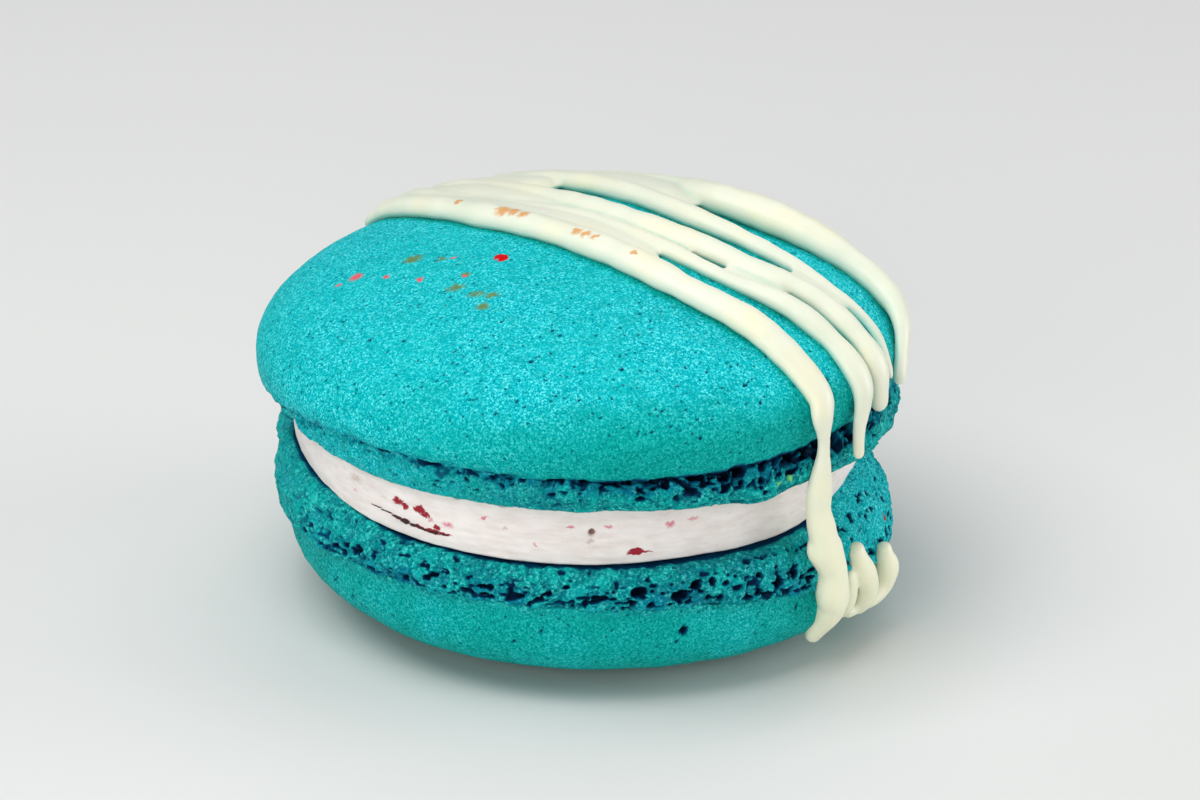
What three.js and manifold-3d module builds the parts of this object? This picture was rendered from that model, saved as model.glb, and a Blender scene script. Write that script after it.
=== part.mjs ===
// A French macaron drizzled with icing: two baked shells, each with its ruffled foot, and a wedge
// of cream filling between them. Millimetres, +Z up. The origin is the middle of the small flat
// spot under the lower shell, and -Y is the front, where the filling is thickest.
import * as THREE from "three";
import Module from "manifold-3d";

const wasm = await Module();
wasm.setup();

const { PI, sin, cos, acos, atan2, hypot, min, max, exp, abs } = Math;
const { lerp } = THREE.MathUtils;
const DEG = PI / 180;

// ---- Driving sizes -------------------------------------------------------------------------

const GAP = 0.3; // between the filling and each shell

// The upper shell's skin, a dome.
const DOME = {
  radius: 21.9,
  height: 7.85,
  roundness: 1.86, // 2 is an ellipse, less is more pointed
  offset: -0.5, // it sits a little to the left of its foot
  level: 18.45, // height of its widest ring
  lean: 0.052, // rise per millimetre of x: the left side is lower
};

// The upper shell's foot, the craggy rim that it rose on.
const UPPER = {
  underside: 13.8,
  riseX: 0.015,
  riseY: -0.022,
  radius: 20.95,
  offset: 0.2,
  lip: 16.6, // where the foot meets the skin
  lipRadius: 21.3,
  crease: 0.75, // depth of the crevice under the skin's edge
  recess: 0.5, // of the flat underside, above the foot's edge
  recessRadius: 19.75,
};

// The lower shell: the same thing upside down, resting on its dome.
const LOWER = {
  face: 10.85,
  riseX: -0.034,
  riseY: 0.034,
  rimRadius: 20.55,
  belly: 0.65, // how far the foot bulges out from its rim
  lip: 7.4,
  lipRadius: 20.7,
  crease: 0.65,
  skinRadius: 20.6,
  skinLevel: 6.2, // height of its widest ring
  roundness: 3.1,
  restRadius: 7,
};

const FILLING = { radius: 19.0, spread: 1.05, bulge: 0.15, chamfer: 0.7 };
const CRAGS = { count: 90, leastSize: 0.9, sizeRange: 0.9, push: 0.42 };
const ICING = { ratio: 0.72, sink: 0.25 }; // a strand's thickness over its width, and its depth in the skin

// Steps round each shell and strand, and up each stretch of a shell's side.
const STEPS = { round: 80, strand: 7, foot: 5, curl: 2, dome: 8, filling: 3 };

// ---- Small helpers -------------------------------------------------------------------------

// 1 at the centre angle, falling smoothly to 0 at `width` degrees to either side.
function bump(angle, centre, width) {
  const apart = atan2(sin(angle - centre * DEG), cos(angle - centre * DEG)) / DEG;
  return abs(apart) < width ? 0.5 + 0.5 * cos((PI * apart) / width) : 0;
}

function smoothstep(value, low, high) {
  const t = min(1, max(0, (value - low) / (high - low)));
  return t * t * (3 - 2 * t);
}

function randomFrom(seed) {
  let state = seed;
  return () => {
    state = (Math.imul(state, 1664525) + 1013904223) >>> 0;
    return state / 2 ** 32;
  };
}

// A ring of points at a radius and height that may change with the angle round the axis.
function ring(radius, height, offset = 0) {
  return Array.from({ length: STEPS.round }, (_, i) => {
    const angle = (2 * PI * i) / STEPS.round;
    const x = offset + radius(angle) * cos(angle);
    const y = radius(angle) * sin(angle);
    return new THREE.Vector3(x, y, height(angle, x, y));
  });
}

// A closed surface through a stack of rings with equal counts, with a point in the middle of each end.
function stack(rings) {
  const count = rings[0].length;
  const middle = (points) =>
    points.reduce((sum, p) => sum.add(p), new THREE.Vector3()).divideScalar(points.length);
  const points = [middle(rings[0]), ...rings.flat(), middle(rings.at(-1))];
  const index = (level, i) => 1 + level * count + (i % count);
  const faces = [];
  for (let i = 0; i < count; i++) {
    faces.push(0, index(0, i + 1), index(0, i));
    faces.push(points.length - 1, index(rings.length - 1, i), index(rings.length - 1, i + 1));
    for (let level = 0; level < rings.length - 1; level++) {
      const [a, b] = [index(level, i), index(level, i + 1)];
      const [c, d] = [index(level + 1, i), index(level + 1, i + 1)];
      faces.push(a, b, d, a, d, c);
    }
  }
  return new THREE.BufferGeometry().setFromPoints(points).setIndex(faces);
}

function solid(geometry) {
  return new wasm.Manifold(
    new wasm.Mesh({
      numProp: 3,
      vertProperties: geometry.getAttribute("position").array,
      triVerts: new Uint32Array(geometry.index.array),
    }),
  );
}

function join(geometries) {
  const mesh = geometries.map(solid).reduce((whole, piece) => whole.add(piece)).getMesh();
  return new THREE.BufferGeometry()
    .setAttribute("position", new THREE.BufferAttribute(mesh.vertProperties, 3))
    .setIndex(new THREE.BufferAttribute(mesh.triVerts, 1));
}

// ---- Crags of the feet ---------------------------------------------------------------------

function makeCrags(seed) {
  const next = randomFrom(seed);
  return Array.from({ length: CRAGS.count }, () => ({
    angle: 2 * PI * next(),
    level: next(),
    size: CRAGS.leastSize + CRAGS.sizeRange * next(),
    push: CRAGS.push * (2 * next() - 1),
  }));
}

// How far the crags push a foot out, at an angle and at a share of the foot's height.
function cragged(crags, angle, level, radius, height) {
  return crags.reduce((sum, c) => {
    const across = radius * atan2(sin(angle - c.angle), cos(angle - c.angle));
    const up = height * (level - c.level);
    return sum + c.push * exp(-(across ** 2 + up ** 2) / c.size ** 2);
  }, 0);
}

const upperCrags = makeCrags(11);
const lowerCrags = makeCrags(29);

// ---- Upper shell ---------------------------------------------------------------------------

const upperUnderside = (x, y) => UPPER.underside + UPPER.riseX * x + UPPER.riseY * y;
const upperFootBottom = (angle, x, y) =>
  upperUnderside(x, y) - 0.4 * bump(angle, 180, 45) - 0.45 * bump(angle, -58, 10);
const upperLip = (angle) => UPPER.lip - 1.6 * bump(angle, 180, 50) + 0.55 * bump(angle, -30, 45);
const domeLevel = (x) => DOME.level + DOME.lean * x;

// Height of the skin's surface over a point inside its widest ring.
function skinHeight(x, y) {
  const share = min(1, hypot(x - DOME.offset, y) / DOME.radius);
  return domeLevel(x) + DOME.height * (1 - share ** DOME.roundness) ** (1 / DOME.roundness);
}

// The foot bulges in the middle. It draws in below on the left, and above on the right.
function upperFootRing(level) {
  const low = (1 - level) ** 2;
  const belly = 0.35 * sin(PI * level) - 0.35 * low;
  const tall = UPPER.lip - UPPER.underside;
  const radius = (angle) =>
    UPPER.radius +
    belly -
    0.4 * low * bump(angle, 180, 60) +
    0.4 * low * bump(angle, 0, 60) -
    0.55 * level * bump(angle, 0, 50) +
    cragged(upperCrags, angle, level, UPPER.radius, tall);
  const height = (angle, x, y) => lerp(upperFootBottom(angle, x, y), upperLip(angle), level);
  return ring(radius, height, UPPER.offset);
}

// From the crevice out to the widest ring, rounding under the skin's edge.
function curlRing(turn) {
  const radius = () => lerp(UPPER.lipRadius, DOME.radius, sin(turn));
  const height = (angle, x) => lerp(domeLevel(x), upperLip(angle) + 0.15, cos(turn));
  return ring(radius, height, DOME.offset);
}

function domeRing(turn) {
  const power = 2 / DOME.roundness;
  const rise = DOME.height * sin(turn) ** power;
  return ring(() => DOME.radius * cos(turn) ** power, (angle, x) => domeLevel(x) + rise, DOME.offset);
}

function upperShell() {
  const rings = [];
  for (const radius of [11, UPPER.recessRadius]) {
    rings.push(ring(() => radius, (angle, x, y) => upperUnderside(x, y) + UPPER.recess, UPPER.offset));
  }
  rings.push(ring(() => UPPER.recessRadius + 0.35, upperFootBottom, UPPER.offset));
  for (let i = 0; i <= STEPS.foot; i++) rings.push(upperFootRing(i / STEPS.foot));
  rings.push(ring(() => UPPER.radius - UPPER.crease, upperLip, UPPER.offset));
  for (let i = 0; i <= STEPS.curl; i++) rings.push(curlRing((i / STEPS.curl) * (PI / 2)));
  for (let i = 1; i < STEPS.dome; i++) rings.push(domeRing((i / STEPS.dome) * (PI / 2)));
  return stack(rings);
}

// ---- Lower shell ---------------------------------------------------------------------------

// Its face is flat in the middle. Towards the rim it rises on the right and dips at the front left.
function lowerFace(x, y) {
  const angle = atan2(y, x);
  const uneven = 1.25 * bump(angle, -5, 48) - 0.6 * bump(angle, -120, 60);
  return LOWER.face + LOWER.riseX * x + LOWER.riseY * y + uneven * smoothstep(hypot(x, y), 12, 19);
}

const lowerLip = (angle) => LOWER.lip - 0.9 * bump(angle, 180, 55) - 2.2 * bump(angle, 0, 80);

// The foot bulges out from its rim, and on the right it spreads more as it goes down.
function lowerFootRing(level) {
  const belly = LOWER.belly * sin(PI * (0.25 + 0.75 * level));
  const tall = LOWER.face - LOWER.lip;
  const radius = (angle) =>
    LOWER.rimRadius +
    belly -
    2.2 * level ** 2 * bump(angle, 0, 60) +
    0.45 * (1 - level) * bump(angle, -8, 75) -
    0.4 * (1 - level) * bump(angle, 190, 60) +
    cragged(lowerCrags, angle, level, LOWER.rimRadius, tall);
  const height = (angle, x, y) => lerp(lowerLip(angle), lowerFace(x, y), level);
  return ring(radius, height);
}

// The skin under the foot is fuller at the front and the right than on the left.
const skinRadius = (angle) => LOWER.skinRadius - 0.65 * bump(angle, 180, 80) + 0.35 * bump(angle, -8, 75);
const skinRoundness = (angle) => LOWER.roundness - 0.7 * bump(angle, 180, 65);
const skinLevel = (angle) => LOWER.skinLevel + 0.5 * (lowerLip(angle) - LOWER.lip);

// One ring of that skin: part runs from 0 at the widest ring to 1 at the flat spot.
function lowerSkinRing(part) {
  const power = (angle) => 2 / skinRoundness(angle);
  const restTurn = (angle) => acos((LOWER.restRadius / skinRadius(angle)) ** (1 / power(angle)));
  const radius = (angle) => skinRadius(angle) * cos(part * restTurn(angle)) ** power(angle);
  const drop = (angle) => (sin(part * restTurn(angle)) / sin(restTurn(angle))) ** power(angle);
  return ring(radius, (angle) => skinLevel(angle) * (1 - drop(angle)));
}

function lowerShell() {
  const rings = [];
  for (let i = STEPS.dome; i >= 0; i--) rings.push(lowerSkinRing(i / STEPS.dome));
  rings.push(ring(() => LOWER.lipRadius, (angle) => lowerLip(angle) - 0.15));
  rings.push(ring(() => LOWER.lipRadius - LOWER.crease, lowerLip));
  for (let i = 0; i <= STEPS.foot; i++) rings.push(lowerFootRing(i / STEPS.foot));
  for (const radius of [18.5, 11]) rings.push(ring(() => radius, (angle, x, y) => lowerFace(x, y)));
  return stack(rings);
}

// ---- Filling -------------------------------------------------------------------------------

// It comes nearly to the rim at the front and stays back from it at the sides.
function fillingRadius(angle, level) {
  const wobble = 0.12 * sin(5 * angle + 1) * cos(3 * angle);
  return FILLING.radius + FILLING.spread * bump(angle, -120, 110) + FILLING.bulge * sin(PI * level) + wobble;
}

function filling() {
  const bottom = (angle, x, y) => lowerFace(x, y) + GAP;
  const edge = (angle, x, y) => upperFootBottom(angle, x, y) - GAP;
  const top = (angle, x, y) => upperUnderside(x, y) + UPPER.recess - GAP;
  const rings = [ring(() => 11, bottom)];
  for (let i = 0; i <= STEPS.filling; i++) {
    const level = i / STEPS.filling;
    const height = (angle, x, y) => lerp(bottom(angle, x, y), edge(angle, x, y), level);
    rings.push(ring((angle) => fillingRadius(angle, level), height));
  }
  rings.push(ring((angle) => fillingRadius(angle, 1) - FILLING.chamfer, top));
  rings.push(ring(() => 11, top));
  return stack(rings);
}

// ---- Icing ---------------------------------------------------------------------------------

// The way out of the macaron at a point: up over the dome, sideways round the edge.
function outward(point) {
  const rise = max(0, point.z - domeLevel(point.x)) / DOME.height ** 2;
  return new THREE.Vector3(point.x / DOME.radius ** 2, point.y / DOME.radius ** 2, rise).normalize();
}

// A string of icing through the knots, closed to round ends. Its section is an oval where it lies on
// the dome, and nearly round where it hangs.
function strand({ knots, steps }) {
  const lifted = knots.map(({ place, half, hangs }) =>
    hangs ? place : place.clone().addScaledVector(outward(place), ICING.ratio * half - ICING.sink),
  );
  const path = new THREE.CatmullRomCurve3(lifted, false, "centripetal");
  const halfWidths = new THREE.SplineCurve(knots.map(({ half }, i) => new THREE.Vector2(i, half)));
  const rings = [];
  for (let i = 0; i <= steps; i++) {
    const centre = path.getPoint(i / steps);
    const along = path.getTangent(i / steps);
    const across = new THREE.Vector3().crossVectors(along, outward(centre)).normalize();
    const out = new THREE.Vector3().crossVectors(across, along).normalize();
    const taper = [0.45, 0.85][min(i, steps - i)] ?? 1;
    const wide = halfWidths.getPoint(i / steps).y * taper;
    const hanging = smoothstep(domeLevel(centre.x) - centre.z, 0, 2);
    const deep = wide * lerp(ICING.ratio, 0.9, hanging);
    rings.push(
      Array.from({ length: STEPS.strand }, (_, k) => {
        const turn = (2 * PI * k) / STEPS.strand;
        return centre
          .clone()
          .addScaledVector(across, -wide * cos(turn))
          .addScaledVector(out, deep * sin(turn));
      }),
    );
  }
  return stack(rings);
}

// A knot of a strand, with the strand's half width there: on the dome's skin, or clear of it.
const onSkin = (x, y, half) => ({ place: new THREE.Vector3(x, y, skinHeight(x, y)), half, hangs: false });
const free = (x, y, z, half) => ({ place: new THREE.Vector3(x, y, z), half, hangs: true });

// Each strand starts behind on the left, crosses the dome and runs down over the right-hand edge.
const upperStrands = [
  {
    steps: 32,
    knots: [
      onSkin(-15.4, 13.7, 0.6),
      onSkin(-13.7, 10.9, 1),
      onSkin(-10.7, 6.3, 1.1),
      onSkin(-7, 1.9, 1.1),
      onSkin(-2.6, -2, 1.05),
      onSkin(1.9, -5.8, 1.15),
      onSkin(6.4, -9.5, 1.1),
      onSkin(11.3, -12.4, 1.1),
      onSkin(15.1, -14.8, 0.95),
      free(15.6, -15.6, 19.6, 0.85),
      free(15.8, -15.6, 17.3, 0.4),
      free(15.7, -15.4, 14.2, 0.85),
      free(15.8, -15.2, 10.7, 0.85),
    ],
  },
  {
    steps: 24,
    knots: [
      onSkin(-13.8, 14.6, 0.7),
      onSkin(-12.1, 11.8, 1),
      onSkin(-9.1, 7.3, 0.8),
      onSkin(-4.8, 3.5, 0.7),
      onSkin(0, 0.2, 0.7),
      onSkin(4.4, -3.5, 0.7),
      onSkin(9.1, -6.9, 0.6),
      onSkin(14, -9.2, 0.85),
      onSkin(17.9, -11.5, 0.85),
      free(18.2, -12.5, 17.1, 0.4),
      free(18.3, -12.3, 15.5, 0.35),
    ],
  },
  {
    steps: 22,
    knots: [
      onSkin(-12.4, 16.6, 0.7),
      onSkin(-10.2, 12.8, 0.95),
      onSkin(-6.6, 9.1, 0.9),
      onSkin(-2.9, 5, 0.9),
      onSkin(1.2, 1.2, 0.95),
      onSkin(5.6, -2.1, 1),
      onSkin(10.4, -5, 0.9),
      onSkin(15.2, -6.9, 0.9),
      onSkin(18.9, -9.3, 0.9),
      free(19.6, -10.1, 17.6, 0.6),
    ],
  },
  {
    steps: 22,
    knots: [
      onSkin(-9.6, 17.5, 0.5),
      onSkin(-7.8, 14.6, 0.65),
      onSkin(-3.7, 12.2, 0.8),
      onSkin(-0.1, 8.8, 0.9),
      onSkin(3.4, 5.3, 0.95),
      onSkin(7, 1.7, 0.95),
      onSkin(11.1, -1.2, 0.75),
      onSkin(15.2, -3.9, 0.6),
      onSkin(19, -6.2, 0.45),
      free(20.4, -8.6, 19.4, 0.4),
    ],
  },
  {
    steps: 24,
    knots: [
      onSkin(-7.4, 19.3, 0.6),
      onSkin(-5.4, 16, 0.85),
      onSkin(-1.7, 13.8, 0.75),
      onSkin(2.5, 12.2, 0.8),
      onSkin(6, 9.5, 1.05),
      onSkin(8.6, 5.9, 1.45),
      onSkin(12.3, 3.5, 1.55),
      onSkin(16.2, 1.6, 1.25),
      onSkin(19.5, -0.7, 1.15),
      free(21.1, -3.4, 21.5, 0.7),
      free(21, -6.3, 18.1, 0.6),
    ],
  },
];

// What ran on down: the end of the first strand on the lower shell, and three drips beside it.
const lowerStrands = [
  {
    steps: 14,
    knots: [
      free(15.9, -15.1, 10.3, 0.85),
      free(16.3, -14.5, 9.3, 1.2),
      free(16.9, -13.9, 7.9, 1.1),
      free(17, -13.5, 6.2, 1.25),
      free(17, -12.9, 4.9, 1.15),
      free(16.6, -12.3, 3.6, 0.95),
      free(16.2, -11.8, 2.7, 0.8),
      free(15.8, -11.4, 1.6, 0.5),
    ],
  },
  {
    steps: 7,
    knots: [
      free(18, -11.2, 6.5, 0.45),
      free(18.2, -11, 5, 0.6),
      free(18, -10.6, 3.9, 0.55),
      free(17.6, -10, 2.9, 0.45),
    ],
  },
  {
    steps: 9,
    knots: [
      free(18.4, -10.9, 8.3, 0.6),
      free(18.9, -10.3, 6.8, 0.8),
      free(19.4, -9.5, 5.3, 0.9),
      free(19.4, -8.9, 4, 0.85),
      free(18.9, -8.5, 2.9, 0.55),
    ],
  },
  {
    steps: 9,
    knots: [
      free(20.6, -6.8, 6.8, 0.5),
      free(20.8, -6.6, 5.4, 0.85),
      free(20.7, -6.4, 4.2, 0.95),
      free(20.2, -7.2, 3.3, 0.75),
      free(19.5, -8, 2.9, 0.5),
    ],
  },
];

// ---- The macaron ---------------------------------------------------------------------------

const baked = new THREE.MeshStandardMaterial({ color: 0x14b0b2, roughness: 0.75, metalness: 0 });
const cream = new THREE.MeshStandardMaterial({ color: 0xe8dcdb, roughness: 0.55, metalness: 0 });

function piece(name, geometry, material) {
  const mesh = new THREE.Mesh(geometry, material);
  mesh.name = name;
  return mesh;
}

const macaron = new THREE.Group();
macaron.add(piece("bottom_shell", join([lowerShell(), ...lowerStrands.map(strand)]), baked));
macaron.add(piece("filling", filling(), cream));
macaron.add(piece("top_shell", join([upperShell(), ...upperStrands.map(strand)]), baked));

export default macaron;
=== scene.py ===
"""A French macaron with trailed icing, as fine meshes over the plain solids of the same sizes.

Sizes are in millimetres until a mesh is made. The sizes and the crags are those of the solids. What
is added here is too fine for them: the sponge of the feet, pores, holes and crevices, the smears
and flecks of the cream, and the way the strings of icing run together.
"""

import bpy
import numpy as np
from mathutils import Matrix, Vector


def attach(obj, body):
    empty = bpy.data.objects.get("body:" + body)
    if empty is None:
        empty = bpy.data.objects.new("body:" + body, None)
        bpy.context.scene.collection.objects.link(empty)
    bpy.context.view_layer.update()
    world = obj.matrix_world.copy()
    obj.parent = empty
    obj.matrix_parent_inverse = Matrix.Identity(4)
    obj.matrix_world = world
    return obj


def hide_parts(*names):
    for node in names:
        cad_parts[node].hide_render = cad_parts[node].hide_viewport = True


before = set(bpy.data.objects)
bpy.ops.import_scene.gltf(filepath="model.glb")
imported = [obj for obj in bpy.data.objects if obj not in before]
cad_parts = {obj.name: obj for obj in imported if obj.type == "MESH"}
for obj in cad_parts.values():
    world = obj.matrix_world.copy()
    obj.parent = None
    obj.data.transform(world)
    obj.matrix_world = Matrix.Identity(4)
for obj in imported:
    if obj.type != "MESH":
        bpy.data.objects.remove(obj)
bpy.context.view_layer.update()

MM = 0.001
ROUND = 1300  # points round each foot and the filling
SKIN_ROUND = 640  # points round each skin
# Rings of points up each stretch of a piece.
LEVELS = {
    "top_foot": 44, "curl": 16, "dome": 122, "bottom_foot": 46, "face": 17, "bottom_skin": 92, "filling": 52,
}
FOOT_SIDE = 21.1  # how far out the holes of the feet lie
CREAM_SIDE = 19.95  # the same on the filling

# ---- Sizes of the solids -------------------------------------------------------------------

DOME = {"radius": 21.9, "height": 7.85, "roundness": 1.86, "offset": -0.5, "level": 18.45, "lean": 0.052}
UPPER = {
    "underside": 13.8,
    "rise_x": 0.015,
    "rise_y": -0.022,
    "radius": 20.95,
    "offset": 0.2,
    "lip": 16.6,
    "lip_radius": 21.3,
    "crease": 0.75,
    "recess": 0.5,
    "recess_radius": 19.75,
}
LOWER = {
    "face": 10.85,
    "rise_x": -0.034,
    "rise_y": 0.034,
    "rim_radius": 20.55,
    "belly": 0.65,
    "lip": 7.4,
    "lip_radius": 20.7,
    "skin_radius": 20.6,
    "skin_level": 6.2,
    "roundness": 3.1,
    "rest_radius": 7,
}
FILLING = {"radius": 19.0, "spread": 1.05, "bulge": 0.15}
CRAGS = {"count": 90, "least_size": 0.9, "size_range": 0.9, "push": 0.42}
ICING = {"ratio": 0.72, "sink": 0.25}
ICING_VOXEL = 0.15  # how fine the icing's mesh is
ICING_SMOOTHINGS = 7
SOFTENED = 0.06  # what those smoothings take off the icing all round
CREASE_SMOOTHINGS = 24  # the wider smoothing that shows where the icing's creases are
WEB_FLATNESS = 0.25  # half the depth of the thin icing between strings, for half its width

# ---- Numbers -------------------------------------------------------------------------------


def bump(angle, centre, width):
    """1 at the centre angle, falling smoothly to 0 at `width` degrees to either side."""
    apart = np.degrees(np.abs(np.angle(np.exp(1j * (angle - np.radians(centre))))))
    return np.where(apart < width, 0.5 + 0.5 * np.cos(np.pi * apart / width), 0)


def smoothstep(value, low, high):
    t = np.clip((value - low) / (high - low), 0, 1)
    return t * t * (3 - 2 * t)


def random_from(seed):
    """The same plain generator that places the crags of the solids."""
    state = seed
    while True:
        state = (state * 1664525 + 1013904223) % 2**32
        yield state / 2**32


class Noise:
    """Smooth noise in space from -1 to 1, with lumps of the size asked for."""

    SIZE = 64

    def __init__(self, seed):
        self.table = np.random.default_rng(seed).uniform(-1, 1, (self.SIZE,) * 3)

    def __call__(self, points, lump):
        places = points / lump
        low = np.floor(places).astype(int)
        t = places - low
        t = t * t * (3 - 2 * t)
        total = 0
        for corner in np.ndindex(2, 2, 2):
            weight = np.prod(np.where(corner, t, 1 - t), axis=-1)
            total = total + weight * self.table[tuple(np.moveaxis((low + corner) % self.SIZE, -1, 0))]
        return total


noise = Noise(5)

# ---- Crags ---------------------------------------------------------------------------------


def make_crags(seed):
    draw = random_from(seed)
    crags = []
    for _ in range(CRAGS["count"]):
        angle = 2 * np.pi * next(draw)
        level = next(draw)
        size = CRAGS["least_size"] + CRAGS["size_range"] * next(draw)
        push = CRAGS["push"] * (2 * next(draw) - 1)
        crags.append((angle, level, size, push))
    return crags


def cragged(crags, angle, level, radius, height):
    """How far the crags push a foot out, at an angle and at a share of the foot's height."""
    total = 0
    for at, share, size, push in crags:
        across = radius * np.angle(np.exp(1j * (angle - at)))
        up = height * (level - share)
        total = total + push * np.exp(-(across**2 + up**2) / size**2)
    return total


upper_crags = make_crags(11)
lower_crags = make_crags(29)

# ---- Grids of points -----------------------------------------------------------------------


def angles(count):
    return np.arange(count) * 2 * np.pi / count


def ring(angle, radius, height, offset=0.0):
    """A ring of points. The radius may be an array, and the height is a function of angle, x and y."""
    x = offset + radius * np.cos(angle)
    y = radius * np.sin(angle)
    z = height(angle, x, y) + 0 * x
    return np.stack([x, y, z], -1)


def normals_of(grid):
    """The outward direction at each point of a stack of rings."""
    around = np.roll(grid, -1, 1) - np.roll(grid, 1, 1)
    up = np.gradient(grid, axis=0)
    normal = np.cross(around, up)
    return normal / np.maximum(np.linalg.norm(normal, axis=-1, keepdims=True), 1e-9)


def hole_depth(grid, holes):
    """How deep each point of the grid lies in oval holes, in millimetres.

    A hole is its place, half its width sideways, half its height, and its depth.
    """
    levels, count = grid.shape[:2]
    deep = np.zeros((levels, count))
    for place, wide, tall, depth in holes:
        angle = np.arctan2(place[1], place[0])
        reach = int(np.ceil(max(wide, tall) * 1.6 / (2 * np.pi * 20 / count))) + 2
        columns = (int(round(angle / (2 * np.pi) * count)) + np.arange(-reach, reach + 1)) % count
        apart = grid[:, columns] - place
        across = apart @ np.array([-np.sin(angle), np.cos(angle), 0])
        rest = np.sqrt(np.maximum((apart**2).sum(-1) - across**2, 0))
        share = np.hypot(across / wide, rest / tall)
        share = share + 0.25 * noise(grid[:, columns], 0.35)
        dug = depth * smoothstep(1.15 - share, 0, 0.55)
        deep[:, columns] = np.maximum(deep[:, columns], dug)
    return deep


def sponge(grid):
    """The open crumb of a foot, as a push in or out in millimetres."""
    return 0.13 * noise(grid, 0.95) + 0.13 * noise(grid + 7, 0.43) + 0.08 * noise(grid + 3, 0.2)


def wormed(grid, least):
    """Winding hollows in clusters, from 0 to 1. A higher `least` leaves fewer of them."""
    winding = noise(grid * np.array([1, 1, 1.7]), 0.62) + 0.45 * noise(grid + 2, 0.26)
    winding = winding + 0.35 * noise(grid * np.array([1, 1, 0.7]) + 8, 2.1)
    return smoothstep(winding, least, least + 0.4)


def on_side(angle, height, radius, offset=0.0):
    """A place on the side of a shell, by its angle in degrees."""
    turn = np.radians(angle)
    return np.array([offset + radius * np.cos(turn), radius * np.sin(turn), height])


def make_piece(name, grid, paint, material):
    """A closed mesh through a stack of rings, with a point in the middle of each end.

    `paint` holds four numbers for each point, which the material reads as a colour and its alpha.
    """
    levels, count = grid.shape[:2]
    points = np.concatenate([grid.reshape(-1, 3), grid[:1].mean(1), grid[-1:].mean(1)])
    i = np.arange(count)
    j = (i + 1) % count
    quads = []
    for level in range(levels - 1):
        low, high = level * count, (level + 1) * count
        quads.append(np.stack([low + i, low + j, high + j, high + i], -1))
    bottom = np.stack([np.full(count, levels * count), j, i], -1)
    last = (levels - 1) * count
    top = np.stack([np.full(count, levels * count + 1), last + i, last + j], -1)
    faces = np.concatenate(quads).tolist() + bottom.tolist() + top.tolist()
    mesh = bpy.data.meshes.new(name)
    mesh.from_pydata((points * MM).tolist(), [], faces)
    colours = np.zeros((len(points), 4))
    colours[: levels * count] = paint.reshape(-1, 4)
    finish_mesh(mesh, colours, material)
    return add_piece(name, mesh)


def finish_mesh(mesh, paint, material):
    """Makes a mesh smooth, and gives it its material and its four numbers at each point."""
    mesh.polygons.foreach_set("use_smooth", np.ones(len(mesh.polygons), bool))
    layer = mesh.color_attributes.new("paint", "FLOAT_COLOR", "POINT")
    layer.data.foreach_set("color", paint.ravel())
    mesh.materials.clear()
    mesh.materials.append(material)


def add_piece(name, mesh):
    piece = bpy.data.objects.new(name, mesh)
    bpy.context.collection.objects.link(piece)
    return piece


# ---- Upper shell ---------------------------------------------------------------------------


def upper_underside(x, y):
    return UPPER["underside"] + UPPER["rise_x"] * x + UPPER["rise_y"] * y


def upper_foot_bottom(angle, x, y):
    return upper_underside(x, y) - 0.4 * bump(angle, 180, 45) - 0.45 * bump(angle, -58, 10)


def upper_lip(angle):
    return UPPER["lip"] - 1.6 * bump(angle, 180, 50) + 0.55 * bump(angle, -30, 45)


def dome_level(x):
    return DOME["level"] + DOME["lean"] * x


def skin_height(x, y):
    """Height of the skin's surface over a place inside its widest ring."""
    share = np.minimum(1, np.hypot(x - DOME["offset"], y) / DOME["radius"])
    n = DOME["roundness"]
    return dome_level(x) + DOME["height"] * (1 - share**n) ** (1 / n)


# Where the skin's edge stands clear of the foot: the angle, half the width in degrees, and how much.
UPPER_GAPS = (
    (-128, 1.4, 0.4), (-104, 1.8, 0.4), (-96, 1.2, 0.5), (-90, 1.2, 0.5), (-86, 3.2, 0.3),
    (-82, 1.4, 0.45), (-78.5, 1.9, 0.55), (-75, 1.3, 0.35), (-70, 2.2, 0.6), (-66.8, 1.0, 0.4),
    (-64.2, 1.5, 0.9), (-60.6, 1.9, 0.95), (-56, 1.4, 0.75), (-53.4, 0.9, 0.6), (-50.4, 1.7, 0.95),
    (-47, 1.3, 0.7), (-43.6, 1.6, 0.8), (-39, 1.8, 0.85), (-34, 2.2, 0.85), (-29, 1.2, 0.5),
    (-24, 2.0, 0.6), (-14, 1.8, 0.5),
)


def gap_strength(angle, seed):
    """From 0 to about 1: how far the crevice under the skin's edge stands open."""
    draw = np.random.default_rng(seed)
    gaps = list(UPPER_GAPS)
    for _ in range(26):
        gaps.append((draw.uniform(5, 215), draw.uniform(1, 3), draw.uniform(0.3, 0.9)))
    total = np.zeros_like(angle)
    for centre, wide, size in gaps:
        apart = np.degrees(np.angle(np.exp(1j * (angle - np.radians(centre)))))
        total = np.maximum(total, size * np.exp(-((apart / wide) ** 4)))
    return total


def upper_foot_radius(angle, level):
    low = (1 - level) ** 2
    belly = 0.35 * np.sin(np.pi * level) - 0.35 * low
    lean = -0.4 * low * bump(angle, 180, 60) + 0.4 * low * bump(angle, 0, 60)
    lean = lean - 0.55 * level * bump(angle, 0, 50)
    tall = UPPER["lip"] - UPPER["underside"]
    return UPPER["radius"] + belly + lean + cragged(upper_crags, angle, level, UPPER["radius"], tall)


def random_holes(seed, count, place, size, flat=1.3):
    """Small holes at random: place() gives each one's place from two draws."""
    draw = np.random.default_rng(seed)
    holes = []
    for _ in range(count):
        tall = draw.uniform(*size) * draw.uniform(0.6, 1)
        at = place(draw.uniform(0, 360), draw.random())
        holes.append((at, tall * draw.uniform(1, flat), tall, tall * 1.6))
    return holes


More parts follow.
